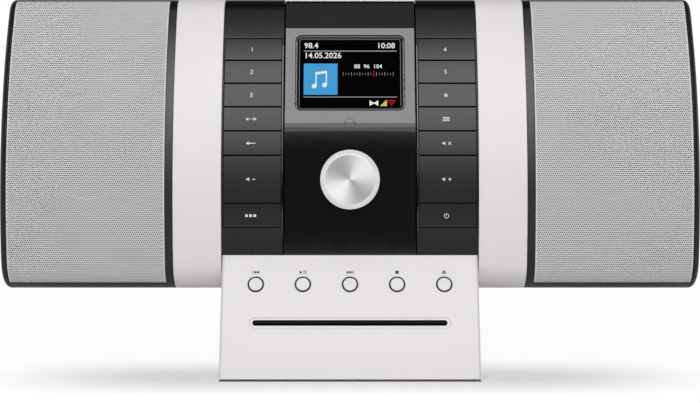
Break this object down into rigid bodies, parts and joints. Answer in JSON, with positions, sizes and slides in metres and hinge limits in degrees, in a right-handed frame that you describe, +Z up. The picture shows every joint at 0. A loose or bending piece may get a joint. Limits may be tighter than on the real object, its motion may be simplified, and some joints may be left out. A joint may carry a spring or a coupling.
{
  "type": "mini hifi system",
  "caption": "Wide table-top mini hi-fi with a curved body between two speaker grilles, key columns, display and push dial on a wedge base with a disc slot.",
  "frame": {"origin": "middle of the set's box at table height", "axes": "+X to the right seen from the front, front faces -Y, +Z up"},
  "size_m": [0.4428, 0.1476, 0.2423],
  "materials": {
    "white_shell": "satin white moulded plastic",
    "black_gloss": "piano black gloss",
    "black_soft": "fine textured black plastic",
    "grille_metal": "silver painted perforated steel",
    "basket_steel": "pressed zinc-plated steel",
    "cone_paper": "black paper cone with rubber surround",
    "display_glass": "tinted clear window",
    "display_metal": "display module frame",
    "ir_red": "infrared-pass plastic",
    "board": "green solder mask",
    "knob_metal": "spun brushed aluminium",
    "bright_steel": "bright plated steel",
    "socket_black": "black nylon",
    "rubber": "soft black rubber",
    "felt": "black felt",
    "chassis_metal": "galvanised sheet",
    "antenna_chrome": "chromed brass tube",
    "screw_steel": "blackened steel"
  },
  "bodies": {
    "set": {"centre_shell": "white_shell", "rear_cover": "black_soft", "speaker_box_left": "black_soft", "speaker_box_right": "black_soft", "grille_left": "grille_metal", "grille_right": "grille_metal", "driver_frame_left": "basket_steel", "driver_frame_right": "basket_steel", "fascia": "black_gloss", "display_window": "display_glass", "display_module": "display_metal", "ir_window": "ir_red", "key_frame_left": "black_gloss", "key_frame_right": "black_gloss", "key_board_left": "board", "key_board_right": "board", "encoder_body": "socket_black", "main_board": "board", "heat_sink": "knob_metal", "rear_sockets": "socket_black", "base_shell": "white_shell", "base_plate": "black_soft", "rubber_feet": "rubber", "disc_key_rings": "black_gloss", "disc_key_board": "board", "slot_felt": "felt", "disc_chassis": "chassis_metal", "housing_screws": "screw_steel"},
    "driver_cone_left": {"driver_cone_left": "cone_paper"},
    "driver_cone_right": {"driver_cone_right": "cone_paper"},
    "volume_push": {"encoder_plunger": "socket_black"},
    "volume_turn": {"volume_knob": "knob_metal", "encoder_shaft": "bright_steel"},
    "turntable": {"disc_turntable": "socket_black"},
    "sled": {"laser_sled": "socket_black"},
    "roller": {"loading_roller": "rubber"},
    "antenna_swivel": {"antenna_base": "socket_black"},
    "antenna_arm": {"antenna_tube": "antenna_chrome"},
    "antenna_second": {"antenna_middle": "antenna_chrome"},
    "antenna_third": {"antenna_tip": "antenna_chrome"},
    "rocker": {"power_rocker": "socket_black"},
    "key_1": {"key_1": "black_gloss"},
    "key_2": {"key_2": "black_gloss"},
    "key_3": {"key_3": "black_gloss"},
    "key_scan": {"key_scan": "black_gloss"},
    "key_back": {"key_back": "black_gloss"},
    "key_volume_down": {"key_volume_down": "black_gloss"},
    "key_mode": {"key_mode": "black_gloss"},
    "key_4": {"key_4": "black_gloss"},
    "key_5": {"key_5": "black_gloss"},
    "key_preset": {"key_preset": "black_gloss"},
    "key_menu": {"key_menu": "black_gloss"},
    "key_mute": {"key_mute": "black_gloss"},
    "key_volume_up": {"key_volume_up": "black_gloss"},
    "key_power": {"key_power": "black_gloss"},
    "disc_key_previous": {"disc_key_previous": "white_shell"},
    "disc_key_play": {"disc_key_play": "white_shell"},
    "disc_key_next": {"disc_key_next": "white_shell"},
    "disc_key_stop": {"disc_key_stop": "white_shell"},
    "disc_key_eject": {"disc_key_eject": "white_shell"}
  },
  "joints": [
    {"name": "key_1_press", "type": "slide", "parent": "set", "child": "key_1", "axis": [0, 0.9422, -0.335], "range_m": [0, 0.0006], "stiffness_N_per_m": 2500},
    {"name": "key_2_press", "type": "slide", "parent": "set", "child": "key_2", "axis": [0, 0.9595, -0.2818], "range_m": [0, 0.0006], "stiffness_N_per_m": 2500},
    {"name": "key_3_press", "type": "slide", "parent": "set", "child": "key_3", "axis": [0, 0.9737, -0.2278], "range_m": [0, 0.0006], "stiffness_N_per_m": 2500},
    {"name": "key_scan_press", "type": "slide", "parent": "set", "child": "key_scan", "axis": [0, 0.9849, -0.1731], "range_m": [0, 0.0006], "stiffness_N_per_m": 2500},
    {"name": "key_back_press", "type": "slide", "parent": "set", "child": "key_back", "axis": [0, 0.993, -0.1179], "range_m": [0, 0.0006], "stiffness_N_per_m": 2500},
    {"name": "key_volume_down_press", "type": "slide", "parent": "set", "child": "key_volume_down", "axis": [0, 0.9993, -0.0361], "range_m": [0, 0.0006], "stiffness_N_per_m": 2500},
    {"name": "key_mode_press", "type": "slide", "parent": "set", "child": "key_mode", "axis": [0, 0.9989, 0.0459], "range_m": [0, 0.0006], "stiffness_N_per_m": 2500},
    {"name": "key_4_press", "type": "slide", "parent": "set", "child": "key_4", "axis": [0, 0.9422, -0.335], "range_m": [0, 0.0006], "stiffness_N_per_m": 2500},
    {"name": "key_5_press", "type": "slide", "parent": "set", "child": "key_5", "axis": [0, 0.9595, -0.2818], "range_m": [0, 0.0006], "stiffness_N_per_m": 2500},
    {"name": "key_preset_press", "type": "slide", "parent": "set", "child": "key_preset", "axis": [0, 0.9737, -0.2278], "range_m": [0, 0.0006], "stiffness_N_per_m": 2500},
    {"name": "key_menu_press", "type": "slide", "parent": "set", "child": "key_menu", "axis": [0, 0.9849, -0.1731], "range_m": [0, 0.0006], "stiffness_N_per_m": 2500},
    {"name": "key_mute_press", "type": "slide", "parent": "set", "child": "key_mute", "axis": [0, 0.993, -0.1179], "range_m": [0, 0.0006], "stiffness_N_per_m": 2500},
    {"name": "key_volume_up_press", "type": "slide", "parent": "set", "child": "key_volume_up", "axis": [0, 0.9993, -0.0361], "range_m": [0, 0.0006], "stiffness_N_per_m": 2500},
    {"name": "key_power_press", "type": "slide", "parent": "set", "child": "key_power", "axis": [0, 0.9989, 0.0459], "range_m": [0, 0.0006], "stiffness_N_per_m": 2500},
    {"name": "disc_key_previous_press", "type": "slide", "parent": "set", "child": "disc_key_previous", "axis": [0, 0.9241, -0.3823], "range_m": [0, 0.0006], "stiffness_N_per_m": 2000},
    {"name": "disc_key_play_press", "type": "slide", "parent": "set", "child": "disc_key_play", "axis": [0, 0.9241, -0.3823], "range_m": [0, 0.0006], "stiffness_N_per_m": 2000},
    {"name": "disc_key_next_press", "type": "slide", "parent": "set", "child": "disc_key_next", "axis": [0, 0.9241, -0.3823], "range_m": [0, 0.0006], "stiffness_N_per_m": 2000},
    {"name": "disc_key_stop_press", "type": "slide", "parent": "set", "child": "disc_key_stop", "axis": [0, 0.9241, -0.3823], "range_m": [0, 0.0006], "stiffness_N_per_m": 2000},
    {"name": "disc_key_eject_press", "type": "slide", "parent": "set", "child": "disc_key_eject", "axis": [0, 0.9241, -0.3823], "range_m": [0, 0.0006], "stiffness_N_per_m": 2000},
    {"name": "volume_push", "type": "slide", "parent": "set", "child": "volume_push", "axis": [0, 1, 0], "range_m": [0, 0.0005], "stiffness_N_per_m": 6000},
    {"name": "volume_turn", "type": "hinge", "parent": "volume_push", "child": "volume_turn", "pos_m": [0, -0.0465, 0.1238], "axis": [0, 1, 0], "continuous": true},
    {"name": "cone_left", "type": "slide", "parent": "set", "child": "driver_cone_left", "axis": [0, 1, 0], "range_m": [-0.0015, 0.0015], "stiffness_N_per_m": 1500},
    {"name": "cone_right", "type": "slide", "parent": "set", "child": "driver_cone_right", "axis": [0, 1, 0], "range_m": [-0.0015, 0.0015], "stiffness_N_per_m": 1500},
    {"name": "turntable_spin", "type": "hinge", "parent": "set", "child": "turntable", "pos_m": [0, 0.0015, 0.03], "axis": [0, 0, 1], "continuous": true},
    {"name": "sled_slide", "type": "slide", "parent": "set", "child": "sled", "axis": [1, 0, 0], "range_m": [0, 0.032]},
    {"name": "roller_spin", "type": "hinge", "parent": "set", "child": "roller", "pos_m": [0, -0.052, 0.0309], "axis": [1, 0, 0], "continuous": true},
    {"name": "antenna_swivel", "type": "hinge", "parent": "set", "child": "antenna_swivel", "pos_m": [0.085, 0.06744, 0.206], "axis": [0, 1, 0], "range_deg": [0, 180]},
    {"name": "antenna_tilt", "type": "hinge", "parent": "antenna_swivel", "child": "antenna_arm", "pos_m": [0.085, 0.06744, 0.206], "axis": [0, 0, -1], "range_deg": [0, 90]},
    {"name": "antenna_pull_second", "type": "slide", "parent": "antenna_arm", "child": "antenna_second", "axis": [-1, 0, 0], "range_m": [0, 0.13]},
    {"name": "antenna_pull_third", "type": "slide", "parent": "antenna_second", "child": "antenna_third", "axis": [-1, 0, 0], "range_m": [0, 0.125]},
    {"name": "power_tilt", "type": "hinge", "parent": "set", "child": "rocker", "pos_m": [-0.07, 0.05675, 0.088], "axis": [1, 0, 0], "range_deg": [-8, 8]}
  ]
}
